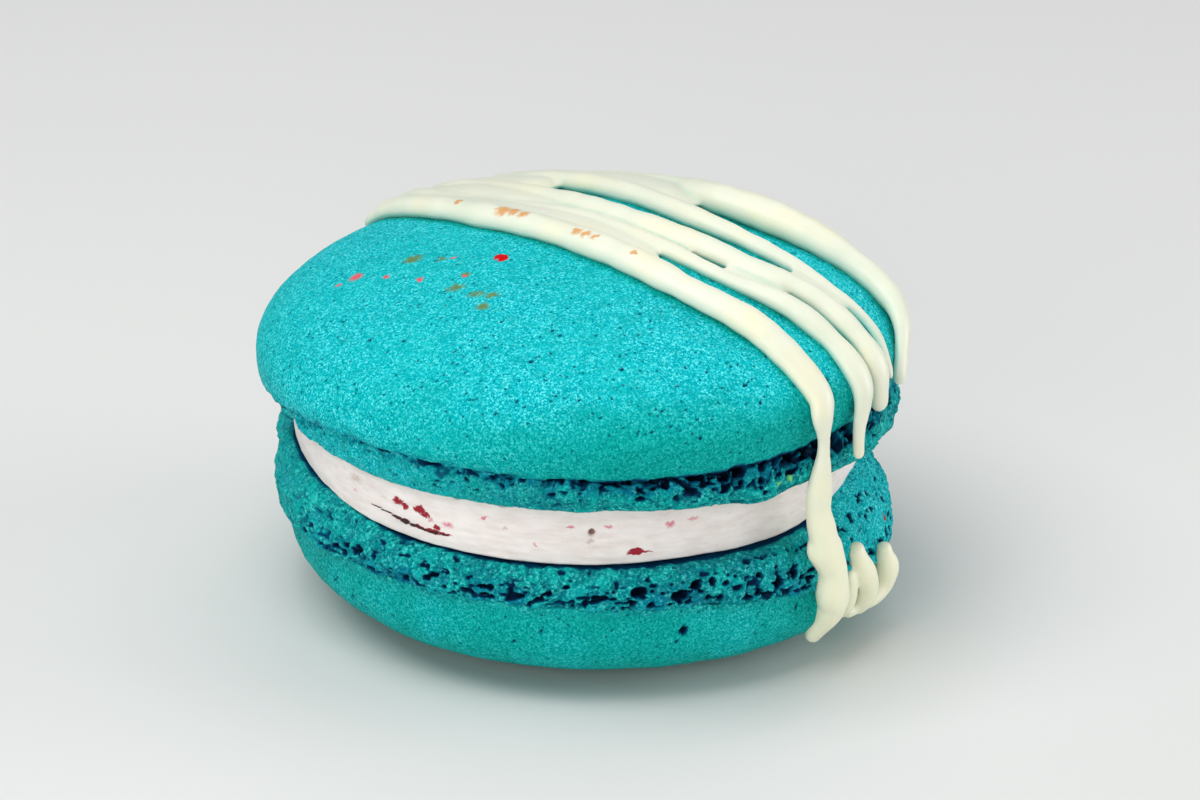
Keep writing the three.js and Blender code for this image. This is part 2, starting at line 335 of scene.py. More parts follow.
# The larger holes of the upper foot: angle, height, half width, half height, depth.
UPPER_HOLES = (
    (-122, 16.1, 0.22, 0.2, 0.5), (-120, 15.85, 0.15, 0.12, 0.4), (-111, 15.85, 0.28, 0.24, 0.5),
    (-109, 15.3, 0.2, 0.14, 0.4), (-96, 15.1, 0.28, 0.22, 0.5), (-73.7, 15.35, 0.24, 0.18, 0.5),
    (-100, 15.3, 0.2, 0.12, 0.3), (-80, 15.4, 0.4, 0.2, 0.4), (-66, 15.6, 0.4, 0.2, 0.35),
    (-84, 15.0, 0.2, 0.15, 0.3), (-117, 15.3, 0.3, 0.15, 0.3), (-58, 15.4, 0.2, 0.12, 0.35),
)


def make_top_foot(material):
    angle = angles(ROUND)
    around = np.stack([21 * np.cos(angle), 21 * np.sin(angle), 0 * angle], -1)
    ragged = noise(around, 0.7) + 0.6 * noise(around + 4, 0.3)
    gap = np.clip(gap_strength(angle, 3) * (1 + 0.5 * ragged), 0, 1.1)
    joined = 1 - smoothstep(gap, 0.1, 0.4)
    lip = upper_lip(angle) + 0.14 + 0.22 * ragged - 0.85 * gap + 0.25 * joined
    offset = UPPER["offset"]

    def inner(a, x, y):
        return upper_underside(x, y) + UPPER["recess"]

    rings = [ring(angle, r, inner, offset) for r in (8, 15, 19, UPPER["recess_radius"])]
    for r, up in ((19.85, 0.3), (19.95, 0.12), (20.1, 0.0)):
        rings.append(ring(angle, r, lambda a, x, y, up=up: upper_foot_bottom(a, x, y) + up, offset))
    for level in np.linspace(0, 1, LEVELS["top_foot"]):
        radius = upper_foot_radius(angle, level) + (0.3 * joined - 0.5 * gap) * level**3

        def height(a, x, y, level=level):
            bottom = upper_foot_bottom(a, x, y)
            return bottom + (lip - bottom) * level

        rings.append(ring(angle, radius, height, offset))
    edge = upper_foot_radius(angle, 1) + 0.3 * joined - 0.5 * gap
    for inward, down in ((0.12, -0.03), (0.25, -0.03), (0.5, 0.0), (0.9, 0.04), (1.4, 0.02)):
        rings.append(ring(angle, edge - inward, lambda a, x, y, down=down: lip - down, offset))
    for r in (18.6, 8):
        rings.append(ring(angle, r, lambda a, x, y: upper_lip(a) + 0.5, offset))
    grid = np.array(rings)

    side = smoothstep(np.arange(len(rings)), 4, 8) * (1 - smoothstep(np.arange(len(rings)), 52, 56))
    side = side[:, None]
    up = grid[..., 2] - upper_foot_bottom(angle, grid[..., 0], grid[..., 1])
    clear = 0.35 + 0.65 * smoothstep(up, 0, 0.7)

    def place(turn, level):
        level = level**0.7
        height = 14 + 2.8 * level - 1.3 * bump(np.radians(turn), 180, 60)
        return on_side(turn, height, FOOT_SIDE, offset)

    holes = [(on_side(a, z, FOOT_SIDE, offset), w, h, d) for a, z, w, h, d in UPPER_HOLES]
    holes += random_holes(8, 620, place, (0.1, 0.22))
    near_lip = smoothstep(grid[..., 2], lip - 1.3, lip - 0.3)
    open_side = 1 - 0.65 * bump(angle, -145, 80)
    deep = hole_depth(grid, holes) * (0.3 + 0.7 * open_side)
    deep = np.maximum(deep, 0.5 * open_side * wormed(grid, 0.2) * near_lip)
    deep = np.maximum(deep, 0.25 * open_side * wormed(grid + 11, 0.42) * clear)
    crumbs = sponge(grid)
    streaks = smoothstep(noise(grid * np.array([1, 1, 2]), 0.9), -0.1, 0.35)
    smudges = 0.07 * bump(angle, -135, 60) * near_lip * streaks
    grid = grid + normals_of(grid) * (side * (clear * crumbs - deep))[..., None]
    # Painted shade in the crevice under the skin's edge, less of it at the left.
    crevice = gap * (1 - 0.6 * bump(angle, -140, 50)) * smoothstep(grid[..., 2], lip - 0.4, lip - 0.05)
    dark = np.maximum((deep + smudges) / 0.3, crevice * (1.1 + 0.7 * noise(grid, 0.5)))
    # Painted light on the left-hand side of the upper foot, which the dome shades: less of the darker crumb,
    # lip and edge colours there.
    painted_light_side = bump(angle, -145, 70)
    crumb = side * (1 - 0.9 * painted_light_side)
    near_lip = near_lip * (1 - 0.6 * painted_light_side)
    risen = height_of_crumbs(crumbs) * (1 - 0.6 * painted_light_side)
    paint = np.stack([np.clip(dark, 0, 1), near_lip, crumb + 0 * deep, risen], -1)
    return make_piece("top_foot", grid, paint, material)


def height_of_crumbs(crumbs):
    """The sponge as a number from 0 in its hollows to 1 on its crests."""
    return smoothstep(crumbs, -0.16, 0.16)


def make_top_skin(material):
    angle = angles(SKIN_ROUND)
    gap = gap_strength(angle, 3)
    joined = 1 - smoothstep(gap, 0.1, 0.4)
    offset = DOME["offset"]
    crease = UPPER["radius"] - UPPER["crease"]
    rings = [ring(angle, r, lambda a, x, y: upper_lip(a) - 0.3) for r in (8, 18.5)]
    rings.append(ring(angle, crease - 0.8, lambda a, x, y: upper_lip(a) + 0.25 * gap, UPPER["offset"]))
    rings.append(ring(angle, crease, lambda a, x, y: upper_lip(a) + 0.25 * gap, UPPER["offset"]))
    first = len(rings)
    for turn in np.linspace(0, np.pi / 2, LEVELS["curl"]):
        radius = UPPER["lip_radius"] + (DOME["radius"] - UPPER["lip_radius"]) * np.sin(turn)
        radius = radius - 0.35 * joined * (1 - np.sin(turn)) ** 2

        def height(a, x, y, turn=turn):
            return dome_level(x) + (upper_lip(a) + 0.12 - dome_level(x)) * np.cos(turn)

        rings.append(ring(angle, radius, height, offset))
    power = 2 / DOME["roundness"]
    for turn in np.linspace(0, np.pi / 2, LEVELS["dome"])[1:-1]:
        rise = DOME["height"] * np.sin(turn) ** power
        radius = DOME["radius"] * np.cos(turn) ** power
        rings.append(ring(angle, radius, lambda a, x, y, rise=rise: dome_level(x) + rise, offset))
    grid = np.array(rings)

    shown = smoothstep(np.arange(len(rings)), first - 1, first + 1)[:, None]
    edge = 1 - smoothstep(grid[..., 2], upper_lip(angle), upper_lip(angle) + 1.3)
    relief = 0.05 * noise(grid, 2.6) + 0.02 * noise(grid + 5, 0.8) + 0.012 * noise(grid + 2, 0.35)
    relief = relief + edge * (0.12 * noise(grid + 9, 0.9) + 0.1 * noise(grid + 1, 0.4))

    def place(turn, share):
        radius = 21.7 * share**0.4
        x = offset + radius * np.cos(np.radians(turn))
        y = radius * np.sin(np.radians(turn))
        return np.array([x, y, skin_height(x, y)])

    pores = [(on_skin(x, y), 0.16, 0.14, 0.2) for x, y in PORES]
    pores += random_holes(21, 420, place, (0.09, 0.17), 1.2)
    deep = hole_depth(grid, pores)
    crumbs = hole_depth(grid, [(on_skin(*RED_CRUMB), 0.55, 0.5, 0.2)])
    grid = grid + normals_of(grid) * (shown * (relief + crumbs - deep))[..., None]
    near_lip = edge**2 * (0.35 + 0.65 * bump(angle, 215, 60))
    around_front = 0.25 + 0.75 * bump(angle, -55, 95)
    shade = smoothstep(22.8 + 0.8 * noise(grid, 2.2) - grid[..., 2], 0, 3.6) * around_front
    # Painted shadow on the skin beside the strings of icing.
    shade = np.maximum(shade, shadow_beside_icing(grid))
    rows_up = np.arange(len(rings))[:, None] - first
    # Painted shade under the skin's edge, where the crevice stands open.
    under = gap * (1 - smoothstep(rows_up, 2, 7))
    dark = np.clip(np.maximum(deep / 0.3, 1.4 * under), 0, 1)
    paint = np.stack([dark, near_lip, 0.4 * edge**3, shade], -1)
    return make_piece("top_skin", grid, paint, material)


def shadow_beside_icing(grid):
    """From 0 to 1: how close the skin is to a string, for the painted shadow on the skin beside the icing."""
    nearest = np.full(grid.shape[:2], 9.0)
    for knots in STRANDS:
        for row in string_path(knots, 5):
            nearest = np.minimum(nearest, np.sqrt(((grid - row[:3]) ** 2).sum(-1)) - row[3])
    return 1 - smoothstep(nearest + 0.2 * noise(grid, 0.5), 0.05, 0.75)


def on_skin(x, y):
    return np.array([x, y, skin_height(x, y)])


RED_CRUMB = (-5.89, -4.68)
# The larger pores of the upper skin, by x and y.
PORES = (
    (-1.8, -19.2), (3.5, -11.9), (-4.2, -17.9), (1.1, -20.5), (7.6, -20.2), (5.1, -19.7), (-7.5, -14.0),
    (9.5, -15.5), (11.5, -17.2), (-12.0, -12.5), (2.2, -16.2), (6.5, -16.5),
)

# ---- Lower shell ---------------------------------------------------------------------------


def lower_face(x, y):
    angle = np.arctan2(y, x)
    uneven = 1.25 * bump(angle, -5, 48) - 0.6 * bump(angle, -120, 60)
    flat = LOWER["face"] + LOWER["rise_x"] * x + LOWER["rise_y"] * y
    return flat + uneven * smoothstep(np.hypot(x, y), 12, 19)


def lower_lip(angle):
    return LOWER["lip"] - 0.9 * bump(angle, 180, 55) - 2.2 * bump(angle, 0, 80)


def lower_foot_radius(angle, level):
    belly = LOWER["belly"] * np.sin(np.pi * (0.25 + 0.75 * level))
    spread = -2.2 * level**2 * bump(angle, 0, 60)
    spread = spread + 0.45 * (1 - level) * bump(angle, -8, 75) - 0.4 * (1 - level) * bump(angle, 190, 60)
    crags = cragged(lower_crags, angle, level, LOWER["rim_radius"], LOWER["face"] - LOWER["lip"])
    return LOWER["rim_radius"] + belly + spread + crags


def lower_skin_radius(angle):
    return LOWER["skin_radius"] - 0.65 * bump(angle, 180, 80) + 0.35 * bump(angle, -8, 75)


def lower_skin_roundness(angle):
    return LOWER["roundness"] - 0.7 * bump(angle, 180, 65)


def lower_skin_level(angle):
    return LOWER["skin_level"] + 0.5 * (lower_lip(angle) - LOWER["lip"])


# The larger holes of the lower foot: angle, height, half width, half height, depth.
LOWER_HOLES = (
    (-125.8, 7.85, 0.55, 0.22, 0.7), (-122.2, 7.8, 0.4, 0.36, 0.8), (-119.4, 8.5, 0.35, 0.3, 0.6),
    (-116.7, 8.2, 0.35, 0.18, 0.6), (-114.2, 9.2, 0.5, 0.14, 0.5), (-114, 8.0, 0.24, 0.2, 0.6),
    (-111.6, 7.15, 0.65, 0.18, 0.7), (-105.9, 7.85, 0.7, 0.2, 0.7), (-102.6, 7.7, 0.4, 0.2, 0.6),
    (-99, 7.35, 0.4, 0.2, 0.7), (-97, 7.05, 0.35, 0.18, 0.6), (-93.2, 7.3, 0.5, 0.26, 0.6),
    (-92, 9.0, 0.3, 0.3, 0.6), (-85.8, 9.2, 0.28, 0.1, 0.4), (-83.4, 8.3, 0.8, 0.22, 0.8),
    (-79, 8.75, 0.55, 0.4, 0.9), (-78.9, 10.3, 0.24, 0.22, 0.5), (-77, 10.05, 0.22, 0.18, 0.5),
    (-76.7, 7.75, 0.3, 0.26, 0.6), (-71, 8.2, 0.7, 0.42, 1.0), (-68, 8.8, 0.5, 0.42, 1.0),
    (-66.8, 8.2, 0.35, 0.25, 0.8), (-71, 7.05, 0.5, 0.22, 0.7), (-64.8, 8.9, 0.25, 0.4, 0.5),
    (-61.7, 9.3, 0.25, 0.24, 0.6), (-55.4, 8.8, 0.3, 0.22, 0.6), (-51.1, 7.9, 0.42, 0.5, 0.9),
    (-55.7, 7.6, 0.36, 0.34, 0.7), (-60, 8.2, 0.4, 0.3, 0.3), (-47, 8.3, 0.4, 0.5, 0.6),
    (-130.9, 11.2, 0.24, 0.12, 0.4), (-126.3, 10.2, 0.32, 0.14, 0.4), (-135, 8.3, 0.3, 0.34, 0.5),
    (-119.3, 9.75, 0.22, 0.16, 0.4), (-105.9, 10.1, 0.17, 0.17, 0.5), (-101, 9.4, 0.3, 0.16, 0.5),
    (-28.3, 9.2, 0.3, 0.26, 0.6), (-31.7, 9.1, 0.18, 0.16, 0.4), (-36.7, 11.5, 0.16, 0.24, 0.5),
    (-20, 10.2, 0.2, 0.2, 0.4), (-22, 8.4, 0.22, 0.2, 0.4), (-14, 9.4, 0.18, 0.2, 0.4),
)


def make_bottom_foot(material):
    angle = angles(ROUND)
    lip = lower_lip(angle)
    rings = [ring(angle, r, lambda a, x, y: lip + 0.4) for r in (8, 18)]
    for r, up in ((19.4, 0.15), (20.0, 0.1), (20.3, 0.06)):
        rings.append(ring(angle, r, lambda a, x, y, up=up: lip + up))
    first = len(rings)
    for level in np.linspace(0, 1, LEVELS["bottom_foot"]):
        radius = lower_foot_radius(angle, level) - 0.3 * smoothstep(level, 0.86, 1.0) ** 2

        def height(a, x, y, level=level):
            return lip - 0.05 + (lower_face(x, y) - lip + 0.05) * level

        rings.append(ring(angle, radius, height))
    last = len(rings)
    rim = lower_foot_radius(angle, 1) - 0.3
    for share in np.linspace(0, 1, LEVELS["face"])[1:]:
        rings.append(ring(angle, rim + (17.6 - rim) * share, lambda a, x, y: lower_face(x, y)))
    for r in (15, 8):
        rings.append(ring(angle, r, lambda a, x, y: lower_face(x, y)))
    grid = np.array(rings)

    row = np.arange(len(rings))
    side = (smoothstep(row, first - 2, first) * (1 - smoothstep(row, last + 12, last + 15)))[:, None]
    on_top = smoothstep(row, last - 2, last + 3)[:, None]

    def place(turn, level):
        low = lower_lip(np.radians(turn))
        face = LOWER["face"] + 1.2 * bump(np.radians(turn), -5, 48)
        out = FOOT_SIDE - 2 * level**2 * bump(np.radians(turn), 0, 60)
        return on_side(turn, low + (face - low) * level**1.2, out)

    holes = [(on_side(a, z, FOOT_SIDE), w, h, d) for a, z, w, h, d in LOWER_HOLES]
    holes += random_holes(14, 900, place, (0.1, 0.22))
    draw = np.random.default_rng(33)
    for _ in range(46):
        turn = draw.uniform(0, 225)
        height = lower_lip(np.radians(turn)) + draw.uniform(0.1, 1.5)
        at = on_side(turn, height, FOOT_SIDE)
        holes.append((at, draw.uniform(0.3, 0.7), draw.uniform(0.18, 0.4), 0.8))
    holes += [(on_side(a, z, 20.6), w, w, 0.4) for a, z, w in flank_pores(52, 70)]
    up = grid[..., 2] - lip
    open_side = 1 - 0.8 * bump(angle, -170, 50)
    crevice = smoothstep(up, 0.05, 0.35) * (1 - smoothstep(up, 1.1, 2.0))
    deep = np.maximum(hole_depth(grid, holes) * open_side, 0.5 * open_side * wormed(grid, 0.26) * crevice)
    deep = np.maximum(deep, 0.25 * wormed(grid + 11, 0.42) * (1 - on_top) * open_side)
    crumbs = sponge(grid)
    grid = grid + normals_of(grid) * (side * ((1 - 0.35 * on_top) * crumbs - deep))[..., None]
    near_lip = (1 - smoothstep(up, 0.5, 2.3)) * open_side * (0.6 + 0.6 * noise(grid, 1.3))
    flank = bump(angle, -15, 55)
    near_lip = near_lip * (1 - 0.8 * flank)
    crumb = side * (1 - flank) * (1 - 0.4 * bump(angle, -165, 45))
    # Painted shade on the top of the lower foot, close under the filling.
    clearance = np.hypot(grid[..., 0], grid[..., 1]) - filling_radius(angle, 0)
    dark = np.maximum(deep / 0.3, 0.7 * on_top * (1 - smoothstep(clearance, 0.05, 0.4)))
    dark = np.clip(dark, 0, 1)
    risen = height_of_crumbs(crumbs) * (1 - 0.9 * flank)
    paint = np.stack([dark, np.clip(near_lip, 0, 1), crumb + 0 * deep, risen], -1)
    return make_piece("bottom_foot", grid, paint, material)


def flank_pores(seed, count):
    """The angle, height and half width of the pores on the right-hand side of the lower foot."""
    draw = np.random.default_rng(seed)
    return [(draw.uniform(-48, 5), draw.uniform(7, 12), draw.uniform(0.12, 0.26)) for _ in range(count)]


def make_bottom_skin(material):
    angle = angles(SKIN_ROUND)
    lip = lower_lip(angle)
    power = 2 / lower_skin_roundness(angle)
    radius = lower_skin_radius(angle)
    level = lower_skin_level(angle)
    rest_turn = np.arccos((LOWER["rest_radius"] / radius) ** (1 / power))
    rings = [ring(angle, r, lambda a, x, y: 0) for r in (3, 6)]
    for part in np.linspace(1, 0, LEVELS["bottom_skin"]):
        out = radius * np.cos(part * rest_turn) ** power
        drop = (np.sin(part * rest_turn) / np.sin(rest_turn)) ** power
        rings.append(ring(angle, out, lambda a, x, y, drop=drop: level * (1 - drop)))
    widest = len(rings)
    for share in np.linspace(0, 1, 9)[1:]:
        out = radius + (LOWER["lip_radius"] - radius) * share

        def height(a, x, y, share=share):
            return level + (lip - 0.05 - level) * share

        rings.append(ring(angle, out, height))
    for r, up in ((20.45, 0.02), (20.1, 0.0), (19.2, -0.2), (8, -0.3)):
        rings.append(ring(angle, r, lambda a, x, y, up=up: lip + up))
    grid = np.array(rings)

    row = np.arange(len(rings))
    shown = (smoothstep(row, 2, 14) * (1 - smoothstep(row, widest + 9, widest + 11)))[:, None]
    edge = smoothstep(grid[..., 2], lip - 1.5, lip)
    relief = 0.06 * noise(grid + 4, 2.4) + 0.03 * noise(grid + 5, 0.9) + 0.015 * noise(grid + 2, 0.4)
    relief = relief + edge * (0.16 * noise(grid + 9, 0.9) + 0.08 * noise(grid + 1, 0.4))

    def place(turn, share):
        a = np.radians(turn)
        share = 0.25 + 0.75 * share
        n = lower_skin_roundness(a)
        r = lower_skin_radius(a) * (1 - (1 - share) ** n) ** (1 / n)
        return on_side(turn, lower_skin_level(a) * share, r)

    holes = [(on_side(-69.6, 5.4, 20.7), 0.3, 0.34, 0.5), (on_side(-100, 6.0, 20.6), 0.14, 0.13, 0.3)]
    holes += random_holes(9, 90, place, (0.1, 0.22), 1.2)
    deep = hole_depth(grid, holes)
    grid = grid + normals_of(grid) * (shown * (relief - deep))[..., None]
    grid[..., 2] = np.maximum(grid[..., 2], 0)
    shade = 0.8 + 0.3 * noise(grid * np.array([1, 1, 0.4]), 1.6)
    paint = np.stack([np.clip(deep / 0.35, 0, 1), 0.2 * edge**3, edge**2, shade + 0 * deep], -1)
    return make_piece("bottom_skin", grid, paint, material)


# ---- Filling -------------------------------------------------------------------------------


def filling_radius(angle, level):
    wobble = 0.12 * np.sin(5 * angle + 1) * np.cos(3 * angle)
    spread = FILLING["spread"] * bump(angle, -120, 110)
    return FILLING["radius"] + spread + FILLING["bulge"] * np.sin(np.pi * level) + wobble


# Cracks, holes and notches of the cream: angle, height, half width, half height, depth.
CREAM_HOLES = (
    (-87.5, 12.52, 0.3, 0.3, 0.45), (-65.1, 13.65, 0.34, 0.3, 0.6), (-64.4, 13.3, 0.14, 0.22, 0.5),
    (-56.1, 11.4, 0.1, 0.1, 0.3), (-113.8, 13.98, 0.3, 0.14, 0.4), (-104.5, 13.95, 0.35, 0.12, 0.4),
    (-131, 11.72, 0.45, 0.05, 0.15), (-128.6, 11.6, 0.45, 0.06, 0.22), (-126.4, 11.48, 0.45, 0.08, 0.3),
    (-124.6, 11.36, 0.4, 0.12, 0.4), (-122.8, 11.28, 0.35, 0.1, 0.35), (-121.2, 11.22, 0.35, 0.07, 0.3),
    (-119.4, 11.18, 0.4, 0.09, 0.3), (-117.4, 11.14, 0.4, 0.1, 0.3), (-115.4, 11.2, 0.4, 0.06, 0.2),
)


def make_filling(material):
    angle = angles(ROUND)
    rings = [ring(angle, r, lambda a, x, y: lower_face(x, y) + 0.12) for r in (8, 17)]
    first = len(rings)
    for level in np.linspace(0, 1, LEVELS["filling"]):
        tuck = 0.35 * smoothstep(level, 0.93, 1.0) + 0.3 * smoothstep(0.05 - level, 0, 0.05)

        def height(a, x, y, level=level):
            bottom = lower_face(x, y) + 0.12
            return bottom + (upper_foot_bottom(a, x, y) + 0.1 - bottom) * level

        rings.append(ring(angle, filling_radius(angle, level) - tuck, height))
    last = len(rings)

    def top(a, x, y):
        return upper_underside(x, y) + UPPER["recess"] - 0.1

    rings += [ring(angle, r, top) for r in (18.4, 8)]
    grid = np.array(rings)
    row = np.arange(len(rings))
    side = (smoothstep(row, first - 1, first + 1) * (1 - smoothstep(row, last - 1, last)))[:, None]
    smeared = grid * np.array([1, 1, 4.0])
    relief = 0.05 * noise(grid + 6, 2.5) + 0.03 * noise(smeared, 1.2) + 0.012 * noise(smeared + 3, 0.45)
    holes = [(on_side(a, z, CREAM_SIDE), w, h, d) for a, z, w, h, d in CREAM_HOLES]
    deep = hole_depth(grid, holes)
    grid = grid + normals_of(grid) * (side * (relief - deep))[..., None]
    paint = np.stack([np.clip(deep / 0.3, 0, 1), 0 * deep, 0 * deep, 0 * deep], -1)
    return make_piece("cream", grid, paint, material)


# ---- Icing ---------------------------------------------------------------------------------


def outward(point):
    """The way out of the macaron: up over the dome, sideways round the edge."""
    rise = max(0, point[2] - dome_level(point[0])) / DOME["height"] ** 2
    way = np.array([point[0] / DOME["radius"] ** 2, point[1] / DOME["radius"] ** 2, rise])
    return way / np.linalg.norm(way)


def lying(x, y, half):
    """A knot on the dome's skin, with the strand's half width there."""
    place = on_skin(x, y)
    return place + outward(place) * (ICING["ratio"] * half - ICING["sink"]), half


def hanging(x, y, z, half):
    return np.array([x, y, z]), half


STRANDS = (
    [
        lying(-15.4, 13.7, 0.6), lying(-13.7, 10.9, 1), lying(-10.7, 6.3, 1.1), lying(-7, 1.9, 1.1),
        lying(-2.6, -2, 1.05), lying(1.9, -5.8, 1.15), lying(6.4, -9.5, 1.1), lying(11.3, -12.4, 1.1),
        lying(15.1, -14.8, 0.95), hanging(15.6, -15.6, 19.6, 0.85), hanging(15.8, -15.6, 17.3, 0.4),
        hanging(15.7, -15.4, 14.2, 0.86), hanging(15.7, -15.2, 12.7, 0.85), hanging(16.1, -14.9, 10.8, 0.95),
        hanging(16.3, -14.5, 9.6, 1.2), hanging(16.9, -13.9, 7.9, 1.08), hanging(17, -13.5, 6.2, 1.25),
        hanging(17.1, -12.9, 5, 1.16), hanging(16.7, -12.3, 3.6, 0.94), hanging(16.2, -12, 2.7, 0.75),
        hanging(15.8, -11.7, 1.6, 0.5),
    ],
    [
        lying(-13.8, 14.6, 0.7), lying(-12.1, 11.8, 1), lying(-9.1, 7.3, 0.8), lying(-4.8, 3.5, 0.7),
        lying(0, 0.2, 0.72), lying(4.4, -3.5, 0.72), lying(9.1, -6.9, 0.6), lying(14, -9.2, 0.88),
        lying(17.9, -11.5, 0.86), hanging(18.2, -12.5, 17.1, 0.42), hanging(18.3, -12.3, 15.2, 0.42),
    ],
    [
        lying(-12.4, 16.6, 0.7), lying(-10.2, 12.8, 0.95), lying(-6.6, 9.1, 0.92), lying(-2.9, 5, 0.96),
        lying(1.2, 1.2, 0.99), lying(5.6, -2.1, 1.02), lying(10.4, -5, 0.92), lying(15.2, -6.9, 0.9),
        lying(18.9, -9.3, 0.9), hanging(19.6, -10.1, 17.7, 0.62),
    ],
    [
        lying(-9.6, 17.5, 0.5), lying(-7.8, 14.6, 0.65), lying(-3.7, 12.2, 0.88), lying(-0.1, 8.8, 0.96),
        lying(3.4, 5.3, 0.97), lying(7, 1.7, 0.93), lying(11.1, -1.2, 0.77), lying(15.2, -3.9, 0.61),
        lying(19, -6.2, 0.45), hanging(20.4, -8.6, 19.4, 0.4),
    ],
    [
        lying(-7.4, 19.3, 0.6), lying(-5.4, 16, 0.85), lying(-1.7, 13.8, 0.76), lying(2.5, 12.2, 0.8),
        lying(6, 9.5, 1.05), lying(8.6, 5.9, 1.45), lying(12.3, 3.5, 1.55), lying(16.2, 1.6, 1.26),
        lying(19.5, -0.7, 1.16), hanging(21.1, -3.4, 21.5, 0.76), hanging(21, -6.3, 18.1, 0.6),
    ],
)
DRIPS = (
    [hanging(15.6, -15.2, 10.3, 0.3), hanging(15.5, -15.1, 9.9, 0.42), hanging(15.8, -14.8, 9.0, 0.5)],
    [
        hanging(18.0, -11.4, 6.7, 0.45), hanging(18.2, -11.1, 5.3, 0.62), hanging(18.1, -10.9, 4.1, 0.62),
        hanging(17.7, -10.4, 3.0, 0.5),
    ],
    [
        hanging(18.4, -11.0, 8.4, 0.6), hanging(18.7, -10.7, 7.3, 0.74), hanging(19.2, -9.9, 5.9, 0.9),
        hanging(19.5, -9.0, 4.6, 0.92), hanging(19.4, -8.8, 3.7, 0.8), hanging(18.8, -8.9, 2.9, 0.55),
        hanging(18.1, -10.0, 2.9, 0.4),
    ],
    [
        hanging(20.6, -6.8, 6.8, 0.45), hanging(20.7, -6.8, 5.9, 0.66), hanging(20.85, -6.5, 4.9, 0.95),
        hanging(20.7, -6.4, 4.1, 0.95), hanging(20.5, -6.6, 3.5, 0.85), hanging(20.1, -7.3, 3.1, 0.7),
        hanging(19.5, -8.0, 2.9, 0.55), hanging(18.9, -8.9, 2.6, 0.45),
    ],
)
# Thin icing between two neighbouring strings, where they have run together: the first string, the
# stretch of x that it fills, and its height above the skin at both ends.
WEBS = (
    (0, -14, 3.6, 0.85, 0.2), (1, -12.5, 5.2, 0.8, 0.25), (2, -11, -4.5, 0.75, 0.2), (3, -8, 5.5, 0.7, 0.3),
    (1, 8.6, 12.5, 0.25, 0.2), (2, 12.5, 16.5, 0.2, 0.1),
)


def smooth_path(knots, steps):
    """Centripetal Catmull-Rom points through the knots, each a row of numbers led by x, y and z."""
    rows = np.vstack([2 * knots[0] - knots[1], knots, 2 * knots[-1] - knots[-2]])
    found = []
    for a, b, c, d in zip(rows, rows[1:], rows[2:], rows[3:]):
        gaps = [max(np.linalg.norm((q - p)[:3]), 1e-6) ** 0.5 for p, q in ((a, b), (b, c), (c, d))]
        t0, t1, t2, t3 = np.cumsum([0, *gaps])
        for t in np.linspace(t1, t2, steps, endpoint=False):
            ab = a + (b - a) * (t - t0) / (t1 - t0)
            bc = b + (c - b) * (t - t1) / (t2 - t1)
            cd = c + (d - c) * (t - t2) / (t3 - t2)
            abc = ab + (bc - ab) * (t - t0) / (t2 - t0)
            bcd = bc + (cd - bc) * (t - t1) / (t3 - t1)
            found.append(abc + (bcd - abc) * (t - t1) / (t2 - t1))
    found.append(rows[-2])
    return np.array(found)


def tube(path, widths, flatness=None):
    """A closed oval tube along a path. It lies flatter on the dome than where it hangs."""
    steps = len(path)
    along = np.gradient(path, axis=0)
    along = along / np.linalg.norm(along, axis=1, keepdims=True)
    turns = angles(20)
    rings = []
    for i in range(steps):
        across = np.cross(along[i], outward(path[i]))
        across = across / np.linalg.norm(across)
        out = np.cross(across, along[i])
        from_end = min(i, steps - 1 - i) / 4
        wide = widths[i] * np.sqrt(max(1 - max(1 - from_end, 0) ** 2, 0.04))
        hangs = smoothstep(dome_level(path[i][0]) - path[i][2], 0, 2)
        ratio = ICING["ratio"] if flatness is None else flatness
        deep = wide * (ratio + (0.9 - ratio) * hangs)
        rings.append(
            path[i] - wide * np.cos(turns)[:, None] * across + deep * np.sin(turns)[:, None] * out
        )
    return np.array(rings)


def add_tube(vertices, faces, rings):
    levels, count = rings.shape[:2]
    start = sum(len(v) for v in vertices)
    vertices.append(rings.reshape(-1, 3))
    vertices.append(np.array([rings[0].mean(0), rings[-1].mean(0)]))
    ends = start + levels * count
    last = start + (levels - 1) * count
    for i in range(count):
        j = (i + 1) % count
        faces.append((ends, start + j, start + i))
        faces.append((ends + 1, last + i, last + j))
        for level in range(levels - 1):
            low = start + level * count
            faces.append((low + i, low + j, low + count + j, low + count + i))


def string_path(knots, steps=16):
    """Points along a string, each a row of x, y, z and half width."""
    return smooth_path(np.array([[*place, half] for place, half in knots]), steps)


def web_path(first, second, start, end, high, low):
    """Points down the valley between two strings, in rows as above."""
    rows = []
    for share in np.linspace(0, 1, 7):
        x = start + (end - start) * share
        a = first[np.abs(first[:, 0] - x).argmin(), :3]
        b = second[np.linalg.norm(second[:, :3] - a, axis=1).argmin(), :3]
        place = on_skin(*((a + b) / 2)[:2])
        half = 0.5 * np.linalg.norm(a - b) * (1 if share < 1 else 0.4)
        rows.append([*(place + outward(place) * (high + (low - high) * share)), half])
    return smooth_path(np.array(rows), 10)


